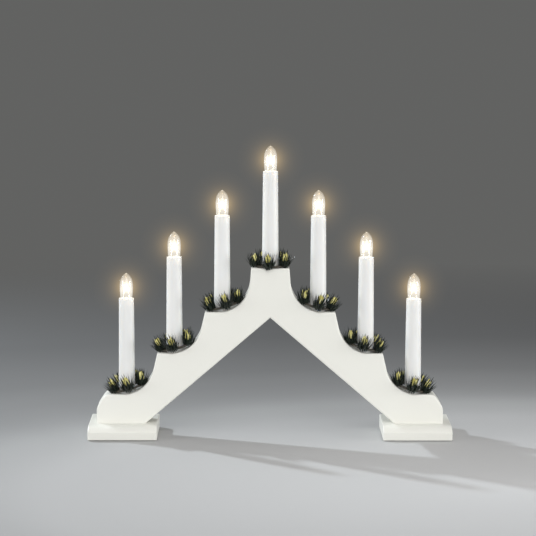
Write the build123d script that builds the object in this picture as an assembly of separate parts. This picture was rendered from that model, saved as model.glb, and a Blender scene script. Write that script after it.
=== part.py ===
from build123d import *
import os
from math import acos, atan2, cos, degrees, hypot, pi, radians, sin, sqrt, tan

# An electric candle arch of painted wood: a board with a V under it and a stepped top edge,
# seven candle tubes with clear screw lamps, a ring of needle tufts round each candle, and
# the wiring in a groove under the board. Millimetres. X runs along the arch, Y from the
# front to the back, Z up. The origin is under the middle, on the surface it stands on.

# Layout
candle_pitch = 51.5
side_candles = 3
cut_over = 5.0  # how far every cut runs past what it cuts

# Feet and pads
foot_long = 74.0
foot_deep = 70.0
foot_high = 14.0
foot_beyond = 8.5  # foot end beyond the end of the board
foot_ease = 1.2  # edges of the ends and the back
nose_long = 15.0  # rounded nose along the front of each foot
nose_high = 6.2
nose_bulge = 1.8  # how far the nose stands out past a straight bevel
pad_high = 1.0
pad_r = 5.0
pad_inset = 10.0

# Board
board_thick = 28.0
board_ease = 1.5
pick_room = 0.1  # how near a plane an edge must lie to be picked there
end_flat = 13.4  # ledge of the outer candles beyond their scallop
end_round = 14.6  # width of the rounded outer corner
end_fall = 18.7  # and its height
waist_out_share = 0.33  # where the corner's curve passes, from outside and from above
waist_down_share = 0.38
end_high = 31.4  # ledge of the outer candles above the feet
first_drop = 47.5
step_drop = 44.8
scallop_out = 4.0  # lowest point of a scallop, outboard of its candle
ledge_flat = 14.0  # flat ledge beyond that point
wall_lean = 3.5  # a scallop's wall leans this far between its ledge's corner and its arc
apex_lean = 1.2
inner_in = 21.0  # foot of the V, inboard of the outer candle
web_high = 53.5  # from the top of the V to the top of the board

# Bores, seats and the wire groove in the board
seat_sink = 0.8
seat_gap = 0.4
spigot_gap = 0.2
bore_room = 0.8  # between the wires and the wall of a bore
groove_wide = 11.0
groove_roof = 3.2  # free depth of the groove above the wires

# Candle tube, tapered and hollow, with a spigot below
tube_long = 103.5
tube_wall = 1.2
tube_lip = 1.9  # the tube's foot stands this far out beyond the spigot
spigot_long = 12.0
spigot_wall = 1.1
spigot_room = 0.7  # between the wires and the spigot
shelf_thick = 2.0  # the shelf in the tube that carries the socket
shelf_room = 0.3

# Lamp socket, measured down from the rim of the tube
socket_down = 6.7
socket_gap = 0.2
socket_wall = 1.3
socket_floor = 3.0
shell_wall = 0.3
shell_gap = 0.05
shell_short = 0.5  # how far the brass shell ends below the top of the socket
shell_lip = 1.35  # width of the shell's turned-in foot
tongue_thick = 0.5  # centre contact of the socket
tongue_gap = 0.4
button_high = 2.1
wire_hole_gap = 0.15

# Lamp
lamp_show = 27.3  # glass above the rim of the tube
glass_gap = 0.5  # between the glass and the rim
glass_swell = 0.7  # the glass is this much wider above the rim
glass_wall = 0.7
glass_radius_shares = (0.965, 1.0, 0.93, 0.76, 0.52, 0.26)
glass_height_shares = (0.2, 0.44, 0.67, 0.81, 0.9, 0.96)
neck_gap = 0.1
neck_in = 4.5  # how far the neck goes into the cap
shoulder_gap = 0.8  # between the glass and the top of the socket
cap_r = 4.7
cap_wall = 0.3
cap_thread = 0.35  # depth of the rolled thread
cap_turns = 5
cap_show = 0.5  # the cap stands this far out of the socket
cap_high = 10.0
cap_plate = 1.0
contact_r = 2.0
contact_neck_r = 1.3
contact_neck_gap = 0.15
contact_head = 1.3
contact_gap = 0.2  # around the lamp's end contact
shell_clear = 0.25  # between cap and brass shell
lead_r = 0.3
lead_gap = 0.4  # between the foot of a lead wire and the contact's neck
lead_spread = 2.6
lead_top = 12.0
lead_bend = 1.2

# Candle ring and its needle tufts
ring_room = 3.4  # between the candle and the ring
ring_half = 2.2
ring_thick = 2.2
ring_ease = 0.9
ring_gap = 0.3  # above the board
wreath_rise = 9.0  # height in the wreath that stays centred on the candle
tuft_count = 5
tuft_lean = 15.0  # degrees, outwards
cup_foot_r = 1.9  # the cup that holds a tuft's needles
cup_top_r = 4.0
cup_high = 5.0
cup_sink = 1.0  # how deep the cup sits in the ring
cup_gap = 0.05
needle_long = 12.5
needle_thick = 1.3
needle_tip = 0.4
needle_sides = 4
needle_sink = 0.8
outer_needles = 8
outer_fan = 12.0
inner_needles = 5
inner_fan = 6.0
inner_share = 0.92  # length of an inner needle
root_share = 0.78  # where the outer needles stand on the cup
core_share = 0.34  # where the inner needles stand
turn_share = 0.25  # every other tuft is turned by this share of a needle's step
inner_skip = 2  # the inner lengths move on this far from tuft to tuft
between_share = 0.5  # inner needles and staples stand midway
tilt_rounds = 6  # how often a ring's tilt is worked out anew
length_shares = (1.0, 0.9, 1.04, 0.94, 1.0, 0.88, 1.05, 0.95)
fan_shares = (1.0, 0.86, 1.06, 0.92, 1.0, 0.9, 1.05, 0.88)
# First tuft of each wreath, in degrees from +X, left to right
first_tufts = (-88.0, -100.0, -80.0, -98.0, -84.0, -96.0, -90.0)

# Wiring
wire_r = 1.0
wire_in = 2.8  # centre of the wire inside the open face of the groove
wire_inset = 0.05  # a wire's edge inside the edge of the shell that it meets
tongue_inset = 0.2  # and inside the edge of the centre contact
wire_apart = 0.4
return_left = 1.5
tight_bend = 3.7
easy_bend = 8.0
wide_bend = 20.0
foot_bend = 6.0
run_share = 0.46  # a bend takes at most this much of the shorter run beside it
jog_low = 20.0  # above the seat, where the return wire steps back
jog_high = 40.0

# Staples in the groove
staple_wire = 1.0
staple_leg_in = 4.5
staple_gap = 0.1
staple_side = 0.5
staple_count = 3  # on each arm

# Cable inlet in the back of the right foot
inlet_r = 2.7
inlet_long = 8.0
sleeve_wall = 1.6
flange_lip = 0.9
flange_thick = 1.5
inlet_gap = 0.15
duct_past = 5.0
wire_short = 5.0  # the wires start this far inside the grommet

# Wood screws up through the feet
screw_r = 1.8
screw_head_r = 3.8
screw_head_high = 2.4
screw_long = 30.0
screw_tip = 3.0
screw_gap = 0.3
pilot_gap = 0.05
screw_sink = 0.5
screw_in = 9.0  # inboard of the outer candle
screw_out = 19.0  # outboard of it
screw_side = 9.0  # the inboard screws stand this far in front, clear of the groove
recess_wide = 0.9
recess_long = 3.8
recess_deep = 1.4

# Lamp, shell, socket and tube, each round the one before it
shell_r = cap_r + shell_clear
shell_out_r = shell_r + shell_wall
socket_r = shell_out_r + shell_gap + socket_wall
tube_top_r = socket_r + socket_gap + tube_wall
glass_rim_r = tube_top_r - tube_wall - glass_gap
glass_r = glass_rim_r + glass_swell
neck_r = cap_r - cap_thread - cap_wall - neck_gap
button_r = contact_r
lead_foot = contact_neck_r + lead_r + lead_gap

# Depths below the rim
cap_top_down = socket_down - cap_show
shoulder_down = socket_down - shoulder_gap
neck_down = cap_top_down + neck_in
plate_down = cap_top_down + cap_high
contact_down = plate_down + contact_gap + contact_head
floor_down = contact_down + contact_gap + button_high
shelf_down = floor_down + socket_floor

# Places of the wires about a candle's axis, and what they run through
tongue_r = shell_out_r - shell_wall - shell_lip - tongue_gap
link_left = tongue_r - wire_r - tongue_inset  # a link arrives this far left of the axis
link_right = shell_out_r - wire_r - wire_inset  # and leaves this far right of it
return_back = 2 * wire_r + wire_apart  # the return wire lies behind the links
bore_r = link_right + wire_r + bore_room
shelf_hole_r = link_right + wire_r + shelf_room
spigot_r = link_right + wire_r + spigot_room + spigot_wall
tube_base_r = spigot_r + tube_lip
groove_deep = wire_in + wire_r + groove_roof

# Board and feet
foot_top = pad_high + foot_high
candle_count = 2 * side_candles + 1
candle_xs = [candle_pitch * (i - side_candles) for i in range(candle_count)]
outer_candle = side_candles * candle_pitch
scallop_r = candle_pitch - ledge_flat - wall_lean
apex_half = candle_pitch + scallop_out - scallop_r - apex_lean
arch_high = end_high + first_drop + (side_candles - 1) * step_drop
board_top = foot_top + arch_high
board_half = outer_candle + scallop_out + end_flat + end_round
inner_half = outer_candle - inner_in
inner_high = arch_high - web_high
slope = atan2(inner_high, inner_half)
slope_rise = inner_high / inner_half
foot_mid = board_half + foot_beyond - foot_long / 2
inlet_x = outer_candle + (link_right - return_left) / 2
inlet_z = pad_high + foot_high / 2
sleeve_r = inlet_r + sleeve_wall
flange_r = sleeve_r + flange_lip
duct_r = sleeve_r + inlet_gap
wire_start = foot_deep / 2 - inlet_long - wire_short
screw_top = pad_high + screw_sink + screw_long
ring_r = tube_base_r + ring_half + ring_room


def ledgeTop(step):
    """Height of the ledge of a candle, counted outwards from the middle one."""
    return board_top - (first_drop + step_drop * (step - 1) if step else 0)


steps_out = [abs(i - side_candles) for i in range(candle_count)]
ledge_tops = [ledgeTop(step) for step in steps_out]
seat_tops = [ledge - seat_sink for ledge in ledge_tops]
rim_tops = [seat + tube_long for seat in seat_tops]


def cylinder(r, low, high, x=0, y=0):
    return Pos(x, y, low) * extrude(Circle(r), high - low)


def turned(points):
    """Solid of revolution about Z, from the half outline given as radius and height."""
    return revolve(make_face(Polyline(*[(r, 0, z) for r, z in points], close=True)), Axis.Z)


def tangentPoint(corner, centre, r):
    """Where the line from a corner meets a scallop, on the scallop's inboard side."""
    away = atan2(corner[1] - centre[1], corner[0] - centre[0])
    reach = hypot(corner[0] - centre[0], corner[1] - centre[1])
    turn = away + acos(r / reach)
    return (centre[0] + r * cos(turn), centre[1] + r * sin(turn)), turn


def atXz(point):
    return (point[0], 0, point[1])


def boardFace():
    """Front outline of the right half of the board."""
    edges = []
    corner = (apex_half, board_top)
    edges.append(Line(atXz((0, board_top)), atXz(corner)))
    for step in range(1, side_candles + 1):
        ledge = ledgeTop(step)
        centre = (step * candle_pitch + scallop_out, ledge + scallop_r)
        touch, turn = tangentPoint(corner, centre, scallop_r)
        middle = (turn + 3 * pi / 2) / 2
        bulge = (centre[0] + scallop_r * cos(middle), centre[1] + scallop_r * sin(middle))
        bottom = (centre[0], ledge)
        corner = (centre[0] + ledge_flat, ledge)
        if step == side_candles:
            corner = (board_half - end_round, ledge)
        edges.append(Line(edges[-1] @ 1, atXz(touch)))
        edges.append(ThreePointArc(atXz(touch), atXz(bulge), atXz(bottom)))
        edges.append(Line(atXz(bottom), atXz(corner)))
    low = (board_half, corner[1] - end_fall)
    waist = (board_half - end_round * waist_out_share, corner[1] - end_fall * waist_down_share)
    ends = [(1, 0, 0), (0, 0, -1)]
    edges.append(Spline(atXz(corner), atXz(waist), atXz(low), tangents=ends))
    edges.append(Line(atXz(low), atXz((board_half, foot_top))))
    edges.append(Line(atXz((board_half, foot_top)), atXz((inner_half, foot_top))))
    edges.append(Line(atXz((inner_half, foot_top)), atXz((0, foot_top + inner_high))))
    edges.append(Line(atXz((0, foot_top + inner_high)), atXz((0, board_top))))
    return make_face(edges)


def archBoard():
    """Board with eased edges, but square where it stands on the feet."""
    half = extrude(boardFace(), board_thick / 2, dir=(0, 1, 0), both=True)
    board = half + mirror(half, Plane.YZ)
    rims = [e for e in board.edges() if abs(abs(e.center().Y) - board_thick / 2) < pick_room]
    board = fillet([e for e in rims if e.center().Z > foot_top + pick_room], board_ease)
    for x, ledge, seat in zip(candle_xs, ledge_tops, seat_tops):
        board -= cylinder(tube_base_r + seat_gap, seat, ledge + scallop_r, x)
        board -= cylinder(spigot_r + spigot_gap, seat - spigot_long - seat_gap, seat + cut_over, x)
        board -= cylinder(bore_r, foot_top - cut_over, seat, x)
    board -= grooveCutter()
    for x, y in screwPlaces():
        board -= cylinder(screw_r + pilot_gap, foot_top - cut_over, screw_top + pilot_gap, x, y)
    return board


def underLine(x, inside):
    """Height of a line that runs under the board, this far inside its open face."""
    sloped = foot_top + inner_high - slope_rise * abs(x) + inside / cos(slope)
    return max(sloped, foot_top + inside)


def cornerX(inside):
    """Where such a line turns from the slope to the level face on the foot."""
    return (inner_high + inside / cos(slope) - inside) / slope_rise


def grooveCutter():
    end = outer_candle + bore_r
    roof = foot_top + groove_deep
    bend = cornerX(groove_deep)
    low = foot_top - cut_over
    points = [(-end, low), (-end, roof), (-bend, roof), (0, underLine(0, groove_deep))]
    points += [(bend, roof), (end, roof), (end, low)]
    face = make_face(Polyline(*[atXz(p) for p in points], close=True))
    return extrude(face, groove_wide / 2, dir=(0, 1, 0), both=True)


def footFace():
    """Side outline of a foot, square at the back and with a rounded nose in front."""
    front = -foot_deep / 2
    chin = Vector(0, front, foot_top - nose_high)
    crest = Vector(0, front + nose_long, foot_top)
    out = Vector(0, -nose_high, nose_long).normalized() * nose_bulge
    low_front = (0, front, pad_high)
    low_back = (0, -front, pad_high)
    high_back = (0, -front, foot_top)
    edges = [Line(low_back, low_front), Line(low_front, chin)]
    edges.append(ThreePointArc(chin, (chin + crest) / 2 + out, crest))
    return make_face(edges + [Line(crest, high_back), Line(high_back, low_back)])


def footBlock(side):
    """One foot; side is -1 for the left one and 1 for the right one."""
    block = extrude(footFace(), foot_long / 2, dir=(1, 0, 0), both=True)
    rims = [e for e in block.edges() if e.center().Z > pad_high + pick_room]
    rims = [e for e in rims if abs(e.center().X) > pick_room or e.center().Y > 0]
    block = Pos(side * foot_mid, 0, 0) * fillet(rims, foot_ease)
    for x, y in screwPlaces():
        if x * side > 0:
            block -= Pos(x, y, 0) * screwCutter()
    return block


def screwPlaces():
    near = outer_candle - screw_in
    far = outer_candle + screw_out
    return [(-far, 0), (-near, -screw_side), (near, -screw_side), (far, 0)]


def screwCutter():
    head = pad_high + screw_sink
    wide = screw_head_r + screw_gap
    hole_r = screw_r + screw_gap
    cone = [(0, pad_high - cut_over), (wide, pad_high - cut_over), (wide, head)]
    cone += [(hole_r, head + screw_head_high), (hole_r, foot_top + cut_over)]
    cone += [(0, foot_top + cut_over)]
    return turned(cone)


def alongY(r, front, back):
    """Cylinder along Y at the cable inlet."""
    return Pos(inlet_x, front, inlet_z) * Rot(-90, 0, 0) * extrude(Circle(r), back - front)


def rightFoot():
    back = foot_deep / 2
    foot = footBlock(1)
    foot -= alongY(duct_r, -duct_past, back + cut_over)
    foot -= alongY(flange_r + inlet_gap, back - flange_thick, back + cut_over)
    foot -= cylinder(bore_r, inlet_z - duct_r, foot_top + cut_over, outer_candle)
    return foot


def cableGrommet():
    back = foot_deep / 2
    grommet = alongY(sleeve_r, back - inlet_long, back)
    grommet += alongY(flange_r, back - flange_thick, back)
    grommet -= alongY(inlet_r, back - inlet_long - cut_over, back + cut_over)
    return grommet


def footPads():
    pads = []
    for side in (-1, 1):
        for end in (-1, 1):
            for depth in (-1, 1):
                x = side * foot_mid + end * (foot_long / 2 - pad_inset)
                y = depth * (foot_deep / 2 - pad_inset)
                pads.append(cylinder(pad_r, 0, pad_high, x, y))
    return Compound(children=pads)


def footScrews():
    head = pad_high + screw_sink
    shank = [(0, head), (screw_head_r, head), (screw_r, head + screw_head_high)]
    shank += [(screw_r, screw_top - screw_tip), (0, screw_top)]
    screw = turned(shank)
    slot = Pos(0, 0, head) * Box(recess_long, recess_wide, 2 * recess_deep)
    screw -= slot + Rot(0, 0, 90) * slot
    return Compound(children=[Pos(x, y, 0) * screw for x, y in screwPlaces()])


def candleTube():
    """Tube with its rim at zero height."""
    foot = -tube_long
    inner_foot = tube_base_r - tube_wall
    inner_top = tube_top_r - tube_wall
    shelf = -shelf_down
    outside = [(0, foot), (tube_base_r, foot), (tube_top_r, 0), (0, 0)]
    tube = turned(outside) + cylinder(spigot_r, foot - spigot_long, foot)
    inside = [(0, foot + tube_wall), (inner_foot, foot + tube_wall), (inner_top, 0), (0, 0)]
    hollow = turned(inside)
    hollow -= cylinder(tube_base_r, shelf - shelf_thick, shelf)
    tube -= hollow
    tube -= cylinder(shelf_hole_r, shelf - shelf_thick - cut_over, shelf + cut_over)
    tube -= cylinder(spigot_r - spigot_wall, foot - spigot_long - cut_over, foot + tube_wall + cut_over)
    return tube


def lampSocket():
    top = -socket_down
    socket = cylinder(socket_r, -shelf_down, top)
    socket -= cylinder(shell_out_r + shell_gap, -floor_down, top + cut_over)
    hole_r = wire_r + wire_hole_gap
    for x in (-link_left, link_right):
        socket -= cylinder(hole_r, -shelf_down - cut_over, -floor_down + cut_over, x)
    return socket


def socketShell():
    shell = cylinder(shell_out_r, -floor_down, -socket_down - shell_short)
    shell -= cylinder(shell_r, -floor_down + shell_wall, cut_over)
    shell -= cylinder(tongue_r + tongue_gap, -floor_down - cut_over, cut_over)
    return shell


def socketContact():
    low = -floor_down
    contact = cylinder(tongue_r, low, low + tongue_thick)
    return contact + cylinder(button_r, low, -contact_down - contact_gap)


def glassOutline(inset):
    """Half outline of the pointed glass above the shoulder, moved in by the inset."""
    points = [(neck_r - inset, 0, -shoulder_down), (glass_rim_r - inset, 0, 0)]
    for across, up in zip(glass_radius_shares, glass_height_shares):
        points.append((glass_r * across - inset, 0, (lamp_show - inset) * up))
    return points + [(0, 0, lamp_show - inset)]


def glassBody(inset, low):
    points = glassOutline(inset)
    side = Spline(*points[:-1])
    tip = Line(points[-2], points[-1])
    axis = Line(points[-1], (0, 0, low))
    base = Line((0, 0, low), (points[0][0], 0, low))
    neck = Line((points[0][0], 0, low), points[0])
    return revolve(make_face([side, tip, axis, base, neck]), Axis.Z)


def bulbGlass():
    return glassBody(0, -neck_down) - glassBody(glass_wall, -neck_down - cut_over)


def bulbCap():
    top = -cap_top_down
    low = -plate_down
    pitch = (cap_high - cap_plate) / (cap_turns + 1)
    points = [(0, low), (cap_r - cap_thread - cap_wall, low), (cap_r - cap_thread, low + cap_plate)]
    for turn in range(cap_turns):
        base = low + cap_plate + pitch * turn
        points.append((cap_r, base + pitch / 2))
        points.append((cap_r - cap_thread, base + pitch))
    points += [(cap_r - cap_thread, top), (0, top)]
    cap = turned(points)
    cap -= cylinder(neck_r + neck_gap, low + cap_plate, top + cut_over)
    cap -= cylinder(contact_neck_r + contact_neck_gap, low - cut_over, top)
    return cap


def bulbContact():
    low = -contact_down
    neck_top = -plate_down + cap_plate + contact_gap
    return cylinder(contact_r, low, low + contact_head) + cylinder(contact_neck_r, low, neck_top)


def bulbFilament():
    """Two lead wires on the cap's floor, joined by the filament."""
    low = -plate_down + cap_plate
    points = [(-lead_foot, 0, low), (-lead_foot, 0, -shoulder_down), (-lead_spread, 0, lead_top)]
    points += [(lead_spread, 0, lead_top), (lead_foot, 0, -shoulder_down), (lead_foot, 0, low)]
    path = FilletPolyline(*points, radius=[lead_bend] * (len(points) - 2))
    return sweep(Plane(points[0], z_dir=(0, 0, 1)) * Circle(lead_r), path=path)


def tuftPlaces():
    """Where the tufts stand on a ring, with the first one on +X."""
    stand = Pos(ring_r, 0, ring_thick - cup_sink) * Rot(0, tuft_lean, 0)
    return [Rot(0, 0, 360 * i / tuft_count) * stand for i in range(tuft_count)]


def ringBase():
    ring = cylinder(ring_r + ring_half, 0, ring_thick)
    ring -= cylinder(ring_r - ring_half, -cut_over, ring_thick + cut_over)
    ring = fillet(ring.edges().filter_by(GeomType.CIRCLE), ring_ease)
    pocket = cup(cup_gap)
    for place in tuftPlaces():
        ring -= place * pocket
    return ring


def needle(around, fan, root, length):
    """Tapered strand that starts inside the cup and leaves its top, away from the axis."""
    foot = Plane.XY * RegularPolygon(needle_thick / 2, needle_sides)
    tip = Plane.XY.offset(length + needle_sink) * RegularPolygon(needle_tip / 2, needle_sides)
    strand = Pos(0, 0, -needle_sink) * loft([foot.face(), tip.face()], ruled=True)
    lean = Rot(0, fan, 0) * strand
    return Rot(0, 0, around) * Pos(root, 0, cup_high) * lean


def cup(gap):
    """Flared cup of a tuft, foot at the origin, or the pocket that fits it with a gap."""
    points = [(0, -gap), (cup_foot_r + gap, -gap), (cup_foot_r + gap, 0)]
    points += [(cup_top_r + gap, cup_high), (0, cup_high)]
    return turned(points)


def needleTuft(turn):
    """Tuft with its cup's foot at the origin; the turn varies the needles."""
    parts = [turned([(0, 0), (cup_foot_r, 0), (cup_top_r, cup_high), (0, cup_high)])]
    for i in range(outer_needles):
        pick = (i + turn) % len(length_shares)
        around = 360 * (i + turn_share * (turn % 2)) / outer_needles
        length = needle_long * length_shares[pick]
        parts.append(needle(around, outer_fan * fan_shares[pick], cup_top_r * root_share, length))
    for i in range(inner_needles):
        pick = (i + inner_skip * turn) % len(length_shares)
        around = 360 * (i + between_share) / inner_needles
        length = needle_long * inner_share * length_shares[pick]
        parts.append(needle(around, inner_fan, cup_top_r * core_share, length))
    return parts[0].fuse(*parts[1:])


def tuftSet():
    return [place * needleTuft(i) for i, place in enumerate(tuftPlaces())]


def wreathPlace(step, side):
    """Lift, shift and tilt of a ring that rides up its scallop on the inboard side."""
    reach = ring_r + ring_half
    if step == 0:
        return Pos(0, 0, board_top + ring_gap)
    tilt = 0
    for again in range(tilt_rounds):
        shift = wreath_rise * sin(tilt)
        inboard = reach * cos(tilt) + shift
        rise = scallop_r - sqrt(scallop_r ** 2 - (inboard + scallop_out) ** 2)
        tilt = atan2(rise, 2 * reach * cos(tilt))
    x = side * (step * candle_pitch - shift)
    z = ledgeTop(step) + rise / 2 + ring_gap / cos(tilt)
    return Pos(x, 0, z) * Rot(0, side * degrees(tilt), 0)


def sweptWire(points, bends):
    """Wire through the points, each bend no wider than the runs beside it allow."""
    places = [Vector(*point) for point in points]
    runs = [end - start for start, end in zip(places, places[1:])]
    fitted = []
    for before, after, bend in zip(runs, runs[1:], bends):
        half_turn = radians(before.get_angle(after)) / 2
        room = run_share * min(before.length, after.length)
        fitted.append(min(bend, room / tan(half_turn)))
    path = FilletPolyline(*places, radius=fitted)
    return sweep(Plane(places[0], z_dir=runs[0]) * Circle(wire_r), path=path)


def terminalZ(k):
    return rim_tops[k] - floor_down


def linkWire(k):
    """Wire from the shell of one socket to the contact of the next."""
    left = candle_xs[k] + link_right
    right = candle_xs[k + 1] - link_left
    bend = cornerX(wire_in)
    points = [(left, 0, terminalZ(k)), (left, 0, underLine(left, wire_in))]
    bends = [tight_bend if left < 0 else easy_bend]
    if left < -bend:
        points.append((-bend, 0, underLine(bend, wire_in)))
        bends.append(wide_bend)
    if right > bend:
        points.append((bend, 0, underLine(bend, wire_in)))
        bends.append(wide_bend)
    points += [(right, 0, underLine(right, wire_in)), (right, 0, terminalZ(k + 1))]
    bends.append(tight_bend if right > 0 else easy_bend)
    return sweptWire(points, bends)


def supplyWire():
    x = outer_candle + link_right
    points = [(x, wire_start, inlet_z), (x, 0, inlet_z), (x, 0, terminalZ(candle_count - 1))]
    return sweptWire(points, [foot_bend])


def returnWire():
    """Wire from the first socket back along the whole groove to the inlet."""
    left = candle_xs[0] - link_left
    right = outer_candle - return_left
    back = return_back
    bend = cornerX(wire_in)
    level = underLine(bend, wire_in)
    points = [(left, 0, terminalZ(0)), (left, 0, seat_tops[0] + jog_high)]
    points += [(left, back, seat_tops[0] + jog_low), (left, back, level), (-bend, back, level)]
    points += [(0, back, underLine(0, wire_in)), (bend, back, level), (right, back, level)]
    points += [(right, back, inlet_z), (right, wire_start, inlet_z)]
    bends = [wide_bend, wide_bend, tight_bend, wide_bend, easy_bend, wide_bend]
    bends += [tight_bend, foot_bend]
    return sweptWire(points, bends)


def wiringLoom():
    wires = [linkWire(k) for k in range(candle_count - 1)]
    return Compound(children=wires + [supplyWire(), returnWire()])


def wireStaples():
    """Staples across the groove, square to the slope, with their legs in its roof."""
    crown_z = wire_in - wire_r - staple_gap - staple_wire / 2
    front = -wire_r - staple_side - staple_wire / 2
    back = return_back + wire_r + staple_side + staple_wire / 2
    leg_top = groove_deep + staple_leg_in
    crown = Pos(0, (front + back) / 2, crown_z) * Box(staple_wire, back - front + staple_wire, staple_wire)
    leg_high = leg_top - crown_z + staple_wire / 2
    leg = Pos(0, 0, (leg_top + crown_z - staple_wire / 2) / 2) * Box(staple_wire, staple_wire, leg_high)
    staple = crown + Pos(0, front, 0) * leg + Pos(0, back, 0) * leg
    staples = []
    for side in (-1, 1):
        for i in range(staple_count):
            x = candle_pitch * (i + between_share)
            if x > cornerX(wire_in):
                continue
            place = Pos(side * x, 0, underLine(x, 0)) * Rot(0, side * degrees(slope), 0)
            staples.append(place * staple)
    return Compound(children=staples)


def save(shape, name):
    export_step(shape, f"parts/{name}.step")


def main():
    os.makedirs("parts", exist_ok=True)
    save(archBoard(), "arch_board")
    save(footBlock(-1), "foot_left")
    save(rightFoot(), "foot_right")
    save(footPads(), "foot_pads")
    save(footScrews(), "foot_screws")
    save(cableGrommet(), "cable_grommet")
    save(wiringLoom(), "wiring_loom")
    save(wireStaples(), "wire_staples")

    tube = candleTube()
    tip_parts = {
        "bulb_glass": bulbGlass(),
        "bulb_cap": bulbCap(),
        "bulb_contact": bulbContact(),
        "bulb_filament": bulbFilament(),
    }
    base = ringBase()
    tufts = tuftSet()
    rims = [Pos(x, 0, rim) for x, rim in zip(candle_xs, rim_tops)]
    for name, piece in (("lamp_sockets", lampSocket()), ("socket_shells", socketShell()),
                        ("socket_contacts", socketContact())):
        save(Compound(children=[rim * piece for rim in rims]), name)
    for k, rim in enumerate(rims):
        save(rim * tube, f"candle_tube_{k + 1}")
        for name, piece in tip_parts.items():
            save(rim * piece, f"{name}_{k + 1}")
        place = wreathPlace(steps_out[k], 1 if candle_xs[k] > 0 else -1)
        place = place * Rot(0, 0, first_tufts[k])
        save(place * base, f"candle_ring_{k + 1}")
        save(Compound(children=[place * tuft for tuft in tufts]), f"ring_tufts_{k + 1}")


main()
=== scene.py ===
import math
import random
import bmesh
import bpy
from mathutils import Matrix, Vector


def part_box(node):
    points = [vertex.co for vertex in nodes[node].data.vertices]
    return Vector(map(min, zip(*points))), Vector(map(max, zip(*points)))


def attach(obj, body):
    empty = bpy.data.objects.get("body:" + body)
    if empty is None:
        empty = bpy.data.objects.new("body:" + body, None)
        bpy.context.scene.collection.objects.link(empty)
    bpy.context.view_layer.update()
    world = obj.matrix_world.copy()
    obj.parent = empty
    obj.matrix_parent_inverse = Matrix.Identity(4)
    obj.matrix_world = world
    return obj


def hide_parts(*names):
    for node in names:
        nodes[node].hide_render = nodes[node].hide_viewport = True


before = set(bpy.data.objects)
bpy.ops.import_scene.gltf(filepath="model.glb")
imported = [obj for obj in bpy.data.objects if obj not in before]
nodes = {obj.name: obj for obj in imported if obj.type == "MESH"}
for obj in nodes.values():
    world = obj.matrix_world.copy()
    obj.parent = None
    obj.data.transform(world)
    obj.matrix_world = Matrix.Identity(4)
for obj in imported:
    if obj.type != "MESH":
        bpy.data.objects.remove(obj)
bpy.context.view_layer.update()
mm = 0.001
lampCount = 7
print("frame loaded,", len(nodes), "CAD nodes")

scene = bpy.context.scene
scene.view_settings.view_transform = "Standard"


# small helpers
def aim(thing, where, along, roll=0.0):
    thing.location = where
    turn = Vector(along).to_track_quat("-Z", "Y").to_matrix()
    thing.rotation_euler = (turn @ Matrix.Rotation(roll, 3, "Z")).to_euler()
    scene.collection.objects.link(thing)


def add(tree, kind, **settings):
    node = tree.nodes.new("ShaderNode" + kind)
    for key, value in settings.items():
        setattr(node, key, value)
    return node


def feed(tree, node, **sockets):
    # a socket gets a value, or a link where an output is given; i0, i1 and so on go by number
    for label, value in sockets.items():
        numbered = label[0] == "i" and label[1:].isdigit()
        socket = node.inputs[int(label[1:]) if numbered else label.replace("_", " ")]
        if isinstance(value, bpy.types.NodeSocket):
            tree.links.new(value, socket)
        else:
            socket.default_value = value
    return node


def calc(tree, operation, first, second, clamp=False):
    node = add(tree, "Math", operation=operation, use_clamp=clamp)
    feed(tree, node, i0=first, i1=second)
    return node.outputs[0]


def blendColour(tree, share, first, second):
    node = add(tree, "Mix", data_type="RGBA")
    feed(tree, node, i0=share, i6=first, i7=second)
    return node.outputs[2]


def span(tree, value, fromRange, low=0.0, high=1.0):
    # stretches a value from its own range to low and high
    node = add(tree, "MapRange")
    feed(tree, node, i0=value, i1=fromRange[0], i2=fromRange[1], i3=low, i4=high)
    return node.outputs[0]


def startGroup(name, inputs, outputs):
    group = bpy.data.node_groups.new(name, "ShaderNodeTree")
    for label, kind, value in inputs:
        socket = group.interface.new_socket(name=label, in_out="INPUT", socket_type="NodeSocket" + kind)
        socket.default_value = value
    for label, kind in outputs:
        group.interface.new_socket(name=label, in_out="OUTPUT", socket_type="NodeSocket" + kind)
    return group, group.nodes.new("NodeGroupInput").outputs, group.nodes.new("NodeGroupOutput")


def useGroup(tree, group, **sockets):
    node = tree.nodes.new("ShaderNodeGroup")
    node.node_tree = group
    return feed(tree, node, **sockets).outputs


def coords(tree, kind="Object"):
    return add(tree, "TexCoord").outputs[kind]


def axis(tree, vector, number):
    node = add(tree, "SeparateXYZ")
    feed(tree, node, i0=vector)
    return node.outputs[number]


def noise(tree, where, scale, detail=3.0, rough=0.5):
    node = add(tree, "TexNoise")
    feed(tree, node, Vector=where, Scale=scale, Detail=detail, Roughness=rough)
    return node.outputs[0]


def stretched(tree, where, scale):
    node = add(tree, "Mapping")
    feed(tree, node, Vector=where, Scale=scale)
    return node.outputs[0]


# camera, at the photograph's angle
view = {"place": (-0.0194, -2.1019, 0.4771), "along": (0.0080, 0.9902, -0.1390), "roll": 0.0026,
        "lens": 132.9, "sensor": 36, "farthest": 20}

camera = bpy.data.objects.new("archCamera", bpy.data.cameras.new("archCamera"))
camera.data.lens = view["lens"]
camera.data.sensor_width = view["sensor"]
camera.data.clip_end = view["farthest"]
aim(camera, view["place"], view["along"], view["roll"])
scene.camera = camera
print("camera set")

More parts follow.
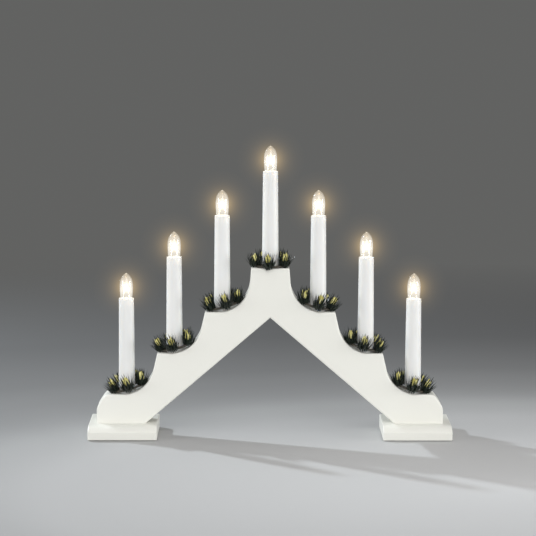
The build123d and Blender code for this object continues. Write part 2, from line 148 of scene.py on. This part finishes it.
# effects that more than one finish uses
mottleLook = {"detail": 4.0, "rough": 0.6, "fineRatio": 17.0, "fineDetail": 3.0,
              "broadRange": (0.3, 0.7), "fineRange": (0.25, 0.75)}
edgeWearAndHighlightLook = {"samples": 4, "cornerRange": (0.995, 0.90), "detail": 4.0, "rough": 0.7, "breakRange": (0.4, 0.62)}
dustLook = {"levelRange": (0.55, 0.98), "detail": 5.0, "rough": 0.7, "speckRange": (0.42, 0.7)}
streakLook = {"detail": 3.0, "rough": 0.55, "range": (0.25, 0.75)}

# patches of two colours, and a fine grain that varies the roughness
mottle, put, out = startGroup(
    "mottle",
    [("Colour", "Color", (0.8, 0.8, 0.8, 1)), ("Other", "Color", (0.7, 0.7, 0.7, 1)), ("Scale", "Float", 40.0),
     ("Amount", "Float", 0.5), ("Roughness", "Float", 0.4), ("Spread", "Float", 0.1)],
    [("Colour", "Color"), ("Roughness", "Float"), ("Height", "Float")])
where = coords(mottle)
broad = noise(mottle, where, put["Scale"], mottleLook["detail"], mottleLook["rough"])
fineScale = calc(mottle, "MULTIPLY", put["Scale"], mottleLook["fineRatio"])
fine = noise(mottle, where, fineScale, mottleLook["fineDetail"], mottleLook["rough"])
share = calc(mottle, "MULTIPLY", span(mottle, broad, mottleLook["broadRange"]), put["Amount"])
shift = calc(mottle, "MULTIPLY", span(mottle, fine, mottleLook["fineRange"], -1.0), put["Spread"])
feed(mottle, out, Colour=blendColour(mottle, share, put["Colour"], put["Other"]),
     Roughness=calc(mottle, "ADD", put["Roughness"], shift, True), Height=fine)

# a mask on the corners, where the bevelled normal turns away from the true one; the paint uses it for a painted
# highlight on its edges, the metals for wear on theirs
edgeWearAndHighlight, put, out = startGroup(
    "edgeWearAndHighlight",
    [("Width", "Float", 0.001), ("Amount", "Float", 0.5), ("Breakup", "Float", 300.0)],
    [("Mask", "Float")])
rounded = add(edgeWearAndHighlight, "Bevel", samples=edgeWearAndHighlightLook["samples"])
feed(edgeWearAndHighlight, rounded, Radius=put["Width"])
facing = add(edgeWearAndHighlight, "VectorMath", operation="DOT_PRODUCT")
feed(edgeWearAndHighlight, facing, i0=rounded.outputs[0], i1=add(edgeWearAndHighlight, "NewGeometry").outputs["Normal"])
corner = span(edgeWearAndHighlight, facing.outputs["Value"], edgeWearAndHighlightLook["cornerRange"])
patches = noise(edgeWearAndHighlight, coords(edgeWearAndHighlight), put["Breakup"], edgeWearAndHighlightLook["detail"], edgeWearAndHighlightLook["rough"])
wearAndHighlightMask = calc(edgeWearAndHighlight, "MULTIPLY", corner, span(edgeWearAndHighlight, patches, edgeWearAndHighlightLook["breakRange"]))
feed(edgeWearAndHighlight, out, Mask=calc(edgeWearAndHighlight, "MULTIPLY", wearAndHighlightMask, put["Amount"], True))

# a mask of specks on what faces up
settledDust, put, out = startGroup(
    "settledDust",
    [("Amount", "Float", 0.2), ("Scale", "Float", 200.0)],
    [("Mask", "Float")])
upward = axis(settledDust, add(settledDust, "NewGeometry").outputs["Normal"], 2)
level = span(settledDust, upward, dustLook["levelRange"])
patches = noise(settledDust, coords(settledDust), put["Scale"], dustLook["detail"], dustLook["rough"])
specks = calc(settledDust, "MULTIPLY", level, span(settledDust, patches, dustLook["speckRange"]))
feed(settledDust, out, Mask=calc(settledDust, "MULTIPLY", specks, put["Amount"], True))

# lines along one way, for grain, flow and drawing marks
streaks, put, out = startGroup(
    "streaks",
    [("Stretch", "Vector", (1, 1, 1)), ("Scale", "Float", 100.0), ("Roughness", "Float", 0.3),
     ("Spread", "Float", 0.1)],
    [("Value", "Float"), ("Roughness", "Float")])
run = add(streaks, "VectorMath", operation="MULTIPLY")
feed(streaks, run, i0=coords(streaks), i1=put["Stretch"])
lines = noise(streaks, run.outputs[0], put["Scale"], streakLook["detail"], streakLook["rough"])
shift = calc(streaks, "MULTIPLY", span(streaks, lines, streakLook["range"], -1.0), put["Spread"])
feed(streaks, out, Value=lines, Roughness=calc(streaks, "ADD", put["Roughness"], shift, True))
print("shared effects built")


# finishes
def finish(name):
    material = bpy.data.materials.new(name)
    material.use_nodes = True
    return material, material.node_tree, material.node_tree.nodes["Principled BSDF"]


def setShader(shader, **values):
    for label, value in values.items():
        shader.inputs[label.replace("_", " ")].default_value = value


def bump(tree, shader, height, strength, distance, after=None):
    node = add(tree, "Bump")
    feed(tree, node, Strength=strength, Distance=distance, Height=height)
    if after is not None:
        tree.links.new(after, node.inputs["Normal"])
    tree.links.new(node.outputs[0], shader.inputs["Normal"])
    return node.outputs[0]


def baseOf(tree, look):
    return useGroup(tree, mottle, Colour=look["colour"], Other=look["other"], Scale=look["patch"],
                    Amount=look["amount"], Roughness=look["roughness"], Spread=look["spread"])


def surface(material, tree, shader, share, other):
    # shows another shader instead of the main one, by share
    pick = add(tree, "MixShader")
    feed(tree, pick, i0=share, i1=shader.outputs[0], i2=other.outputs[0])
    tree.links.new(pick.outputs[0], tree.nodes["Material Output"].inputs["Surface"])
    return material


# in these dictionaries a bump is its strength and its depth in metres
boardLook = {"colour": (0.805, 0.80, 0.745, 1), "other": (0.775, 0.772, 0.715, 1), "patch": 9.0, "amount": 0.5,
             "roughness": 0.42, "spread": 0.05, "grain": (0.25, 1.0, 1.0), "grainScale": 420.0,
             "grainBump": (0.10, 0.0004), "peelBump": (0.10, 0.0002), "wearAndHighlight": 0.25, "wearAndHighlightWidth": 0.0012,
             "edgeHighlightColour": (0.86, 0.85, 0.80, 1), "breakup": 260.0, "dust": 0.10, "dustScale": 340.0,
             "dustColour": (0.70, 0.70, 0.68, 1), "dustRough": 0.4, "coat": 0.12, "coatRough": 0.25}
# the feet take the board's paint made a little darker: painted shade
shadedFootLook = dict(boardLook, colour=(0.765, 0.76, 0.705, 1), other=(0.73, 0.727, 0.668, 1), patch=13.0,
                grain=(0.3, 1.0, 1.0), grainScale=380.0, wearAndHighlight=0.32)


def satinPaint(name, look):
    material, tree, shader = finish(name)
    base = baseOf(tree, look)
    grain = useGroup(tree, streaks, Stretch=look["grain"], Scale=look["grainScale"])
    wearAndHighlight = useGroup(tree, edgeWearAndHighlight, Width=look["wearAndHighlightWidth"], Amount=look["wearAndHighlight"], Breakup=look["breakup"])
    dust = useGroup(tree, settledDust, Amount=look["dust"], Scale=look["dustScale"])
    # the corners are painted a lighter colour: a painted highlight along the edges
    edgeHighlighted = blendColour(tree, wearAndHighlight["Mask"], base["Colour"], look["edgeHighlightColour"])
    dulled = calc(tree, "MULTIPLY", dust["Mask"], look["dustRough"])
    feed(tree, shader, Base_Color=blendColour(tree, dust["Mask"], edgeHighlighted, look["dustColour"]),
         Roughness=calc(tree, "ADD", base["Roughness"], dulled, True))
    peel = bump(tree, shader, base["Height"], *look["peelBump"])
    bump(tree, shader, grain["Value"], *look["grainBump"], peel)
    setShader(shader, Coat_Weight=look["coat"], Coat_Roughness=look["coatRough"])
    return material


candleLook = {"colour": (0.83, 0.825, 0.80, 1), "other": (0.80, 0.795, 0.77, 1), "patch": 22.0, "amount": 0.5,
              "roughness": 0.38, "spread": 0.05, "flow": (1.0, 1.0, 0.06), "flowScale": 420.0,
              "flowBump": (0.12, 0.0003), "skinBump": (0.08, 0.00015), "dust": 0.05, "dustScale": 420.0,
              "dustColour": (0.6, 0.59, 0.56, 1), "depth": 0.25, "scatter": (0.004, 0.0034, 0.0028),
              "scatterScale": 1.0, "ior": 1.47}
socketLook = dict(candleLook, colour=(0.78, 0.77, 0.72, 1), other=(0.72, 0.70, 0.64, 1), roughness=0.3,
                  depth=0.0, patch=120.0)
grommetLook = dict(candleLook, colour=(0.76, 0.76, 0.73, 1), other=(0.70, 0.70, 0.66, 1), roughness=0.45,
                   depth=0.0, patch=150.0)
wireLook = dict(candleLook, colour=(0.78, 0.78, 0.74, 1), other=(0.70, 0.69, 0.63, 1), roughness=0.34,
                depth=0.0, patch=60.0, flow=(1.0, 1.0, 1.0), flowScale=160.0, dust=0.2)
padLook = dict(candleLook, colour=(0.035, 0.034, 0.032, 1), other=(0.06, 0.058, 0.055, 1), roughness=0.85,
               spread=0.1, skinBump=(0.6, 0.00015), depth=0.0, patch=300.0, flow=(1.0, 1.0, 1.0))
ringLook = dict(candleLook, colour=(0.020, 0.018, 0.013, 1), other=(0.065, 0.052, 0.032, 1), roughness=0.42,
                spread=0.12, skinBump=(0.4, 0.00015), depth=0.0, patch=260.0, amount=0.8,
                flow=(1.0, 1.0, 1.0), dust=0.12)


def moulded(name, look):
    material, tree, shader = finish(name)
    base = baseOf(tree, look)
    flow = useGroup(tree, streaks, Stretch=look["flow"], Scale=look["flowScale"])
    dust = useGroup(tree, settledDust, Amount=look["dust"], Scale=look["dustScale"])
    feed(tree, shader, Base_Color=blendColour(tree, dust["Mask"], base["Colour"], look["dustColour"]),
         Roughness=base["Roughness"])
    skin = bump(tree, shader, base["Height"], *look["skinBump"])
    bump(tree, shader, flow["Value"], *look["flowBump"], skin)
    setShader(shader, Subsurface_Weight=look["depth"], Subsurface_Radius=look["scatter"],
              Subsurface_Scale=look["scatterScale"], IOR=look["ior"])
    return material


steelLook = {"colour": (0.56, 0.54, 0.46, 1), "other": (0.40, 0.37, 0.29, 1), "wornEdgeAndGlintColour": (0.78, 0.77, 0.72, 1),
             "patch": 180.0, "amount": 0.6, "roughness": 0.34, "spread": 0.1, "drawn": (1.0, 1.0, 0.2),
             "drawnScale": 900.0, "drawnSpread": 0.08, "scratchBump": (0.25, 0.0001), "wearAndHighlight": 0.5,
             "wearAndHighlightWidth": 0.0003, "breakup": 900.0}
stapleLook = dict(steelLook, colour=(0.60, 0.60, 0.60, 1), other=(0.42, 0.41, 0.40, 1), drawn=(0.2, 0.2, 1.0))
shellLook = dict(steelLook, colour=(0.78, 0.56, 0.24, 1), other=(0.50, 0.32, 0.12, 1),
                 wornEdgeAndGlintColour=(0.90, 0.74, 0.42, 1), roughness=0.28)
capLook = dict(shellLook, colour=(0.80, 0.62, 0.30, 1), drawn=(1.0, 1.0, 3.0), roughness=0.25)
solderLook = dict(steelLook, colour=(0.52, 0.52, 0.52, 1), other=(0.34, 0.34, 0.34, 1), roughness=0.45,
                  drawn=(1.0, 1.0, 1.0))


def metal(name, look):
    material, tree, shader = finish(name)
    base = baseOf(tree, look)
    drawn = useGroup(tree, streaks, Stretch=look["drawn"], Scale=look["drawnScale"],
                     Roughness=look["roughness"], Spread=look["drawnSpread"])
    wearAndHighlight = useGroup(tree, edgeWearAndHighlight, Width=look["wearAndHighlightWidth"], Amount=look["wearAndHighlight"], Breakup=look["breakup"])
    # the roughness is the mean of the patches' and the drawing marks'
    both = calc(tree, "ADD", base["Roughness"], drawn["Roughness"])
    feed(tree, shader, Base_Color=blendColour(tree, wearAndHighlight["Mask"], base["Colour"], look["wornEdgeAndGlintColour"]),
         Roughness=calc(tree, "MULTIPLY", both, 0.5, True))
    bump(tree, shader, drawn["Value"], *look["scratchBump"])
    setShader(shader, Metallic=1.0)
    return material


# the ranges of a lamp's glow run from 0 at the glass's foot to 1 at its tip
glassLook = {"colour": (1.0, 0.985, 0.955, 1), "tint": (0.93, 0.90, 0.84, 1), "tintRange": (0.5, 0.8),
             "tintMost": 0.3, "smoothest": 0.02, "roughest": 0.07, "hazeScale": 700.0, "hazeDetail": 3.0,
             "hazeRough": 0.6, "hazeRange": (0.35, 0.75), "wave": (1.0, 1.0, 0.35), "waveScale": 260.0,
             "waveDetail": 2.0, "waveBump": (0.05, 0.0003), "ior": 1.47, "shade": (0.72, 0.71, 0.69, 1),
             "glow": 0.22, "footGlow": (0.70, 0.66, 0.58, 1), "footRange": (0.32, 0.52),
             "middleGlow": (1.0, 0.93, 0.82, 1), "tipGlow": (0.50, 0.42, 0.31, 1), "tipRange": (0.55, 0.95)}


def lampGlass(name, look):
    material, tree, shader = finish(name)
    haze = noise(tree, coords(tree), look["hazeScale"], look["hazeDetail"], look["hazeRough"])
    tintShare = span(tree, haze, look["tintRange"], 0.0, look["tintMost"])
    # the lit glass is brightest round its filament and dimmer towards the tip
    tall = axis(tree, coords(tree, "Generated"), 2)
    lower = blendColour(tree, span(tree, tall, look["footRange"]), look["footGlow"], look["middleGlow"])
    feed(tree, shader, Base_Color=blendColour(tree, tintShare, look["colour"], look["tint"]),
         Roughness=span(tree, haze, look["hazeRange"], look["smoothest"], look["roughest"]),
         Emission_Color=blendColour(tree, span(tree, tall, look["tipRange"]), lower, look["tipGlow"]))
    wave = noise(tree, stretched(tree, coords(tree), look["wave"]), look["waveScale"], look["waveDetail"])
    bump(tree, shader, wave, *look["waveBump"])
    setShader(shader, Transmission_Weight=1.0, IOR=look["ior"], Emission_Strength=look["glow"])
    # light passes the glass straight and a little dimmed
    clear = add(tree, "BsdfTransparent")
    feed(tree, clear, Color=look["shade"])
    return surface(material, tree, shader, add(tree, "LightPath").outputs["Is Shadow Ray"], clear)


# the range of the lit part runs from 0 at the foot of the leads to 1 at the top of the coil
filamentLook = {"colour": (1.0, 0.76, 0.46, 1), "cool": (0.95, 0.58, 0.28, 1), "strength": 9.0,
                "lead": (0.012, 0.010, 0.008, 1), "litRange": (0.72, 0.86), "turns": 900.0, "uneven": 0.6,
                "wire": (0.5, 0.47, 0.42, 1), "wireDark": (0.3, 0.28, 0.25, 1), "smoothest": 0.3,
                "roughest": 0.5, "metal": 0.9, "turnBump": (0.4, 0.0001)}


def glowingWire(name, look):
    material, tree, shader = finish(name)
    coil = add(tree, "TexWave", wave_type="BANDS", bands_direction="X")
    feed(tree, coil, Vector=coords(tree), Scale=look["turns"], Distortion=look["uneven"])
    turn = coil.outputs["Fac"]
    # only the coil at the top is lit, and its two leads stay dark
    lit = span(tree, axis(tree, coords(tree, "Generated"), 2), look["litRange"])
    hot = blendColour(tree, turn, look["colour"], look["cool"])
    feed(tree, shader, Base_Color=blendColour(tree, turn, look["wire"], look["wireDark"]),
         Emission_Color=blendColour(tree, lit, look["lead"], hot),
         Roughness=span(tree, turn, (0.0, 1.0), look["smoothest"], look["roughest"]))
    bump(tree, shader, turn, *look["turnBump"])
    setShader(shader, Emission_Strength=look["strength"], Metallic=look["metal"])
    return material


# in the foils, glint is how much of the lighter colour is painted along the crinkles: painted glints
greenLook = {"colour": (0.003, 0.006, 0.004, 1), "other": (0.009, 0.017, 0.009, 1),
             "wornEdgeAndGlintColour": (0.05, 0.065, 0.045, 1), "vary": 0.9, "glint": 0.2, "glintRange": (0.45, 0.75),
             "crinkle": (1.0, 1.0, 0.3), "crinkleScale": 900.0, "crinkleBump": (0.35, 0.0003),
             "roughness": 0.30, "spread": 0.12, "shine": 0.22, "coat": 0.08, "coatRough": 0.15}
goldLook = dict(greenLook, colour=(0.84, 0.78, 0.28, 1), other=(0.60, 0.54, 0.13, 1),
                wornEdgeAndGlintColour=(0.95, 0.93, 0.66, 1), glint=0.7, crinkleScale=700.0, shine=0.4)


def foil(name, look):
    material, tree, shader = finish(name)
    each = add(tree, "NewGeometry").outputs["Random Per Island"]
    crinkle = useGroup(tree, streaks, Stretch=look["crinkle"], Scale=look["crinkleScale"],
                       Roughness=look["roughness"], Spread=look["spread"])
    shade = blendColour(tree, span(tree, each, (0.0, 1.0), 0.0, look["vary"]), look["colour"], look["other"])
    # lighter streaks along the crinkles are painted glints
    glints = span(tree, crinkle["Value"], look["glintRange"], 0.0, look["glint"])
    feed(tree, shader, Base_Color=blendColour(tree, glints, shade, look["wornEdgeAndGlintColour"]),
         Roughness=crinkle["Roughness"])
    bump(tree, shader, crinkle["Value"], *look["crinkleBump"])
    setShader(shader, Coat_Weight=look["coat"], Coat_Roughness=look["coatRough"],
              Specular_IOR_Level=look["shine"])
    return material


# each CAD node takes the finish with the longest name that its own name starts with
finishes = {
    "arch_board": satinPaint("boardPaint", boardLook),
    "foot_": satinPaint("shadedFootPaint", shadedFootLook),
    "foot_pads": moulded("padRubber", padLook),
    "foot_screws": metal("screwSteel", steelLook),
    "cable_grommet": moulded("grommetPlastic", grommetLook),
    "wiring_loom": moulded("wireInsulation", wireLook),
    "wire_staples": metal("stapleSteel", stapleLook),
    "candle_tube": moulded("candlePlastic", candleLook),
    "lamp_sockets": moulded("socketPlastic", socketLook),
    "socket_": metal("socketBrass", shellLook),
    "bulb_glass": lampGlass("lampGlass", glassLook),
    "bulb_cap": metal("capBrass", capLook),
    "bulb_contact": metal("contactSolder", solderLook),
    "bulb_filament": glowingWire("filamentWire", filamentLook),
    "candle_ring": moulded("ringBacking", ringLook),
}
for name, piece in nodes.items():
    match = max((start for start in finishes if name.startswith(start)), key=len, default=None)
    if match:
        piece.data.materials.clear()
        piece.data.materials.append(finishes[match])
print("CAD nodes dressed")

# needle wreaths round the candles, in millimetres and degrees
wreath = {"ringRadius": 14.5, "ringThick": 2.2, "tilt": 14.66, "lean": 15.0, "tufts": 5, "stand": 1.2,
          "firstTufts": (-88, -100, -80, -98, -84, -96, -90), "firstDice": 40}
# each kind of needle: how many, width, and the radius and height of four points along it
whorls = [
    {"count": 14, "wide": 2.3, "root": (2.4, 0.6), "belly": (7.6, 1.6), "neck": (7.2, 6.2), "tip": (10.6, 12.2)},
    {"count": 12, "wide": 1.9, "root": (2.2, 1.4), "belly": (6.2, 3.0), "neck": (5.6, 9.0), "tip": (7.4, 16.2)},
    {"count": 14, "wide": 2.8, "root": (2.4, 0.2), "belly": (7.0, 0.2), "neck": (7.4, 3.4), "tip": (7.2, 8.0)},
    {"count": 7, "wide": 1.6, "root": (1.2, 2.0), "belly": (3.0, 5.0), "neck": (3.4, 10.0), "tip": (4.2, 15.4)},
    {"count": 12, "wide": 2.6, "root": (2.0, 1.6), "belly": (5.6, 2.4), "neck": (6.4, 0.8), "tip": (6.0, -0.9)},
]
apron = {"count": 7, "reach": 1.2, "wide": 2.6, "shortest": 0.75,
         "root": (2.0, 1.4), "belly": (4.6, 2.6), "neck": (5.4, 0.4), "tip": (4.6, -3.2)}
goldBunch = {"count": 7, "wide": 3.5,
             "root": (0.6, 3.0), "belly": (2.6, 6.0), "neck": (3.4, 9.5), "tip": (2.4, 13.6)}
# a needle tapers to its point, and a gold one swells in the middle
bladeShape = {"steps": 7, "taper": 0.55, "point": 0.05, "swellFrom": 0.12, "swellOver": 0.86, "swell": 0.8,
              "front": 0.45, "back": 0.18}
# how much the needles of a whorl differ, and how they keep clear of the candle
uneven = {"around": 0.3, "long": (0.84, 1.12), "fan": (0.8, 1.25), "neck": (0.92, 1.06), "wide": (0.8, 1.15),
          "twist": 0.25, "inwardFan": 0.3, "inwardRoom": 0.42}
# the cup's outline: radius and height
cup = {"sides": 14,
       "outline": ((0.0, 0.0), (1.9, 0.0), (3.4, 1.0), (4.6, 2.6), (4.9, 4.4), (3.6, 5.8), (0.0, 6.2))}


def alongBlade(points, share):
    # cubic curve through root, belly, neck and tip handles
    a, b, c, d = (Vector(p) for p in points)
    r = 1 - share
    return a * r ** 3 + b * 3 * r * r * share + c * 3 * r * share * share + d * share ** 3


def bladeWidth(share, bud):
    if bud:
        turn = math.pi * (bladeShape["swellFrom"] + bladeShape["swellOver"] * share)
        return math.sin(turn) ** bladeShape["swell"]
    return (1 - share) ** bladeShape["taper"] + bladeShape["point"]


def blade(bm, spot, around, points, wide, twist, bud):
    rings = []
    for step in range(bladeShape["steps"]):
        share = step / (bladeShape["steps"] - 1)
        out, high = alongBlade(points, share)
        angle = around + twist * share
        outward = Vector((math.cos(angle), math.sin(angle), 0))
        side = Vector((-math.sin(angle), math.cos(angle), 0))
        centre = Vector((out * math.cos(angle), out * math.sin(angle), high))
        width = wide * bladeWidth(share, bud) / 2
        front, back = width * bladeShape["front"], width * bladeShape["back"]
        corners = (centre - side * width, centre + outward * front,
                   centre + side * width, centre - outward * back)
        rings.append([bm.verts.new(spot @ (p * mm)) for p in corners])
    for low, high in zip(rings, rings[1:]):
        for i in range(4):
            bm.faces.new((low[i], low[(i + 1) % 4], high[(i + 1) % 4], high[i]))
    bm.faces.new(rings[0][::-1])
    bm.faces.new(rings[-1])


def whorlOf(bm, spot, kind, dice, bud=False):
    for i in range(kind["count"]):
        around = 2 * math.pi * (i + dice.uniform(-uneven["around"], uneven["around"])) / kind["count"]
        inward = max(0.0, -math.cos(around))
        long = dice.uniform(*uneven["long"])
        fan = dice.uniform(*uneven["fan"]) * (1 - uneven["inwardFan"] * inward)
        root, belly, neck, tip = (Vector(kind[part]) for part in ("root", "belly", "neck", "tip"))
        tip = Vector((neck.x + (tip.x - neck.x) * fan, tip.y * long))
        neck = Vector((neck.x * dice.uniform(*uneven["neck"]), neck.y * long))
        # the side towards the candle stays clear of it
        room = 1 - uneven["inwardRoom"] * inward
        belly, neck, tip = (Vector((part.x * room, part.y)) for part in (belly, neck, tip))
        wide = kind["wide"] * dice.uniform(*uneven["wide"])
        twist = dice.uniform(-uneven["twist"], uneven["twist"])
        blade(bm, spot, around, (root, belly, neck, tip), wide, twist, bud)


def apronOf(bm, spot, dice):
    # short needles that hang over the ring in front of the board
    for i in range(apron["count"]):
        around = apron["reach"] * (2 * i / (apron["count"] - 1) - 1)
        points = [Vector(apron[part]) for part in ("root", "belly", "neck", "tip")]
        points[3].y *= math.cos(around) * dice.uniform(apron["shortest"], 1.0)
        blade(bm, spot, around, points, apron["wide"], 0.0, False)


def budCup(bm, spot):
    # the moulded cup that holds a tuft's needles
    sides = cup["sides"]
    rounds = []
    for out, high in cup["outline"]:
        angles = [2 * math.pi * i / sides for i in range(1 if out == 0 else sides)]
        points = [Vector((out * math.cos(angle), out * math.sin(angle), high)) for angle in angles]
        rounds.append([bm.verts.new(spot @ (point * mm)) for point in points])
    for low, high in zip(rounds, rounds[1:]):
        for i in range(sides):
            loop = [low[i % len(low)], low[(i + 1) % len(low)],
                    high[(i + 1) % len(high)], high[i % len(high)]]
            bm.faces.new(list(dict.fromkeys(loop)))


def ringPlace(k):
    low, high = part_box(f"candle_ring_{k}")
    side = (k > 4) - (k < 4)
    tilt = Matrix.Rotation(math.radians(side * wreath["tilt"]), 4, "Y")
    foot = Matrix.Translation((0, 0, -wreath["ringThick"] / 2 * mm))
    return Matrix.Translation((low + high) / 2) @ tilt @ foot


def tuftPlaces(k):
    stand = Matrix.Translation((wreath["ringRadius"] * mm, 0, wreath["stand"] * mm))
    lean = Matrix.Rotation(math.radians(wreath["lean"]), 4, "Y")
    for i in range(wreath["tufts"]):
        angle = math.radians(wreath["firstTufts"][k - 1] + 360 * i / wreath["tufts"])
        yield ringPlace(k) @ Matrix.Rotation(angle, 4, "Z") @ stand @ lean


def meshPiece(name, bm, material, body):
    mesh = bpy.data.meshes.new(name)
    bmesh.ops.recalc_face_normals(bm, faces=bm.faces)
    bm.to_mesh(mesh)
    bm.free()
    mesh.materials.append(material)
    piece = bpy.data.objects.new(name, mesh)
    scene.collection.objects.link(piece)
    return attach(piece, body)


greenFoil = foil("needleFoil", greenLook)
goldFoil = foil("goldFoil", goldLook)
for k in range(1, lampCount + 1):
    dice = random.Random(wreath["firstDice"] + k)
    green, gold = bmesh.new(), bmesh.new()
    for i, spot in enumerate(tuftPlaces(k)):
        budCup(green, spot)
        if i == 0:
            apronOf(green, spot, dice)
        for kind in whorls:
            whorlOf(green, spot, kind, dice)
        whorlOf(gold, spot, goldBunch, dice, bud=True)
    needles = meshPiece(f"needle_tufts_{k}", green, greenFoil, f"wreath_{k}")
    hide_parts(f"ring_tufts_{k}")
    meshPiece(f"gold_needles_{k}", gold, goldFoil, f"wreath_{k}")
print("wreaths made")

# the lit lamps, in millimetres: round lights one inside the other, bright in the middle and
# fading outwards; each core light is its radius and its shade
glow = {"above": 12.0, "colour": (1.0, 0.92, 0.78), "haloColour": (1.0, 0.68, 0.28),
        "core": ((1.4, 0.3), (2.4, 0.2), (3.4, 0.15)), "coreRise": (-2.0, 0.5, 3.0),
        "haloFirst": 6.5, "haloLast": 36.0, "haloSteps": 19, "haloPeak": 4.1, "haloFade": 7.2}


def roundLight(name, body, where, radius, shade, colour):
    # shade is how bright its disc looks, and its watts follow from its size
    lamp = bpy.data.lights.new(name, "POINT")
    lamp.shadow_soft_size = radius * mm
    lamp.energy = shade * 4 * (math.pi * radius * mm) ** 2
    lamp.color = colour
    light = bpy.data.objects.new(name, lamp)
    light.location = where
    light.visible_camera = True
    scene.collection.objects.link(light)
    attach(light, body)


def haloShade(reach):
    # fades with the distance, down to nothing at the last ring
    return glow["haloPeak"] * math.exp(-reach / glow["haloFade"]) * (1 - (reach / glow["haloLast"]) ** 2)


haloGap = (glow["haloLast"] - glow["haloFirst"]) / glow["haloSteps"]
for k in range(1, lampCount + 1):
    low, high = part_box(f"candle_tube_{k}")
    middle = Vector(((low.x + high.x) / 2, 0, high.z + glow["above"] * mm))
    for rise in glow["coreRise"]:
        where = middle + Vector((0, 0, rise * mm))
        for radius, shade in glow["core"]:
            roundLight(f"lampCore{k}_{rise}_{radius}", f"lamp_{k}", where, radius, shade, glow["colour"])
    for ring in range(glow["haloSteps"]):
        reach = glow["haloFirst"] + ring * haloGap
        shade = haloShade(reach) - haloShade(reach + haloGap)
        roundLight(f"lampHalo{k}_{ring}", f"lamp_{k}", middle, reach + haloGap / 2, shade, glow["haloColour"])
print("lamps lit")

# studio: a floor with a painted pool of light, pale round a middle in front and painted darker to grey away from
# it; lightPool is distance and shade
studio = {"middle": (0.17, -0.24), "narrow": 0.72, "reach": 6.0, "sides": 96,
          "lightPool": ((0.00, 0.62), (0.08, 0.56), (0.17, 0.52), (0.28, 0.445), (0.33, 0.445), (0.37, 0.375),
                      (0.41, 0.355), (0.45, 0.275), (0.50, 0.22), (0.53, 0.215), (0.62, 0.165), (0.86, 0.093),
                      (1.6, 0.093)),
          "farRange": (0.9, 1.6), "smoothest": 0.75, "roughest": 0.9, "paperScale": 900.0,
          "paperRange": (0.3, 0.7), "paperBump": (0.05, 0.0002), "grey": (0.122, 0.123, 0.120, 1),
          "skyFront": 0.72, "skyBack": 0.25, "skyColour": (1.0, 1.0, 1.0, 1)}


def floorFinish():
    material, tree, shader = finish("studioFloor")
    apart = add(tree, "VectorMath", operation="DISTANCE")
    where = stretched(tree, coords(tree), (studio["narrow"], 1.0, 1.0))
    feed(tree, apart, i0=where, i1=(*studio["middle"], 0))
    # the ramp paints the pool of light: the floor's colour is pale round the middle and darker grey away from it
    ramp = add(tree, "ValToRGB")
    ramp.color_ramp.interpolation = "B_SPLINE"
    widest = studio["lightPool"][-1][0]
    stops = ramp.color_ramp.elements
    while len(stops) < len(studio["lightPool"]):
        stops.new(0.5)
    for stop, (reach, shade) in zip(stops, studio["lightPool"]):
        stop.position = reach / widest
        stop.color = (shade, shade, shade, 1)
    feed(tree, ramp, i0=calc(tree, "DIVIDE", apart.outputs["Value"], widest))
    paper = noise(tree, coords(tree), studio["paperScale"])
    feed(tree, shader, Base_Color=ramp.outputs[0],
         Roughness=span(tree, paper, studio["paperRange"], studio["smoothest"], studio["roughest"]))
    bump(tree, shader, paper, *studio["paperBump"])
    far = add(tree, "Emission")
    feed(tree, far, Color=studio["grey"], Strength=1.0)
    return surface(material, tree, shader, span(tree, apart.outputs["Value"], studio["farRange"]), far)


bm = bmesh.new()
bmesh.ops.create_circle(bm, cap_ends=True, segments=studio["sides"], radius=studio["reach"])
mesh = bpy.data.meshes.new("studioFloor")
bm.to_mesh(mesh)
bm.free()
mesh.materials.append(floorFinish())
floor = bpy.data.objects.new("studioFloor", mesh)
scene.collection.objects.link(floor)

# the camera, glossy and transmission rays see plain grey, and the rest get a soft sky
world = bpy.data.worlds.new("studioWorld")
scene.world = world
world.use_nodes = True
tree = world.node_tree
shown = tree.nodes["Background"]
feed(tree, shown, Color=studio["grey"], Strength=1.0)
soft = add(tree, "Background")
towards = axis(tree, coords(tree, "Generated"), 1)
feed(tree, soft, Color=studio["skyColour"],
     Strength=span(tree, towards, (-1.0, 1.0), studio["skyFront"], studio["skyBack"]))
path = add(tree, "LightPath").outputs
bent = calc(tree, "MAXIMUM", path["Is Glossy Ray"], path["Is Transmission Ray"])
pick = add(tree, "MixShader")
seen = calc(tree, "MAXIMUM", path["Is Camera Ray"], bent)
feed(tree, pick, i0=seen, i1=soft.outputs[0], i2=shown.outputs[0])
tree.links.new(pick.outputs[0], tree.nodes["World Output"].inputs["Surface"])

# each lamp: place, aim point, width and height, watts, colour
studioLights = {
    "keyLight": {"place": (-1.20, 0.865, 1.00), "aim": (0, 0, 0.1), "size": (0.055, 0.055), "watts": 20.5,
                 "colour": (0.86, 0.94, 1.0)},
    "frontFill": {"place": (0.3, -2.4, 1.7), "aim": (0, 0, 0.12), "size": (1.8, 1.8), "watts": 29.0,
                  "colour": (1.0, 1.0, 1.0)},
    "leftFill": {"place": (-1.8, -0.7, 0.35), "aim": (0, 0, 0.2), "size": (0.8, 0.6), "watts": 12.5,
                 "colour": (1.0, 1.0, 1.0)},
    "rightFill": {"place": (1.8, -0.6, 0.35), "aim": (0, 0, 0.2), "size": (0.8, 0.6), "watts": 14.0,
                  "colour": (1.0, 1.0, 1.0)},
}
for name, look in studioLights.items():
    lamp = bpy.data.lights.new(name, "AREA")
    lamp.shape = "RECTANGLE"
    lamp.size, lamp.size_y = look["size"]
    lamp.energy = look["watts"]
    lamp.color = look["colour"]
    aim(bpy.data.objects.new(name, lamp), look["place"], Vector(look["aim"]) - Vector(look["place"]))
print("studio lit")
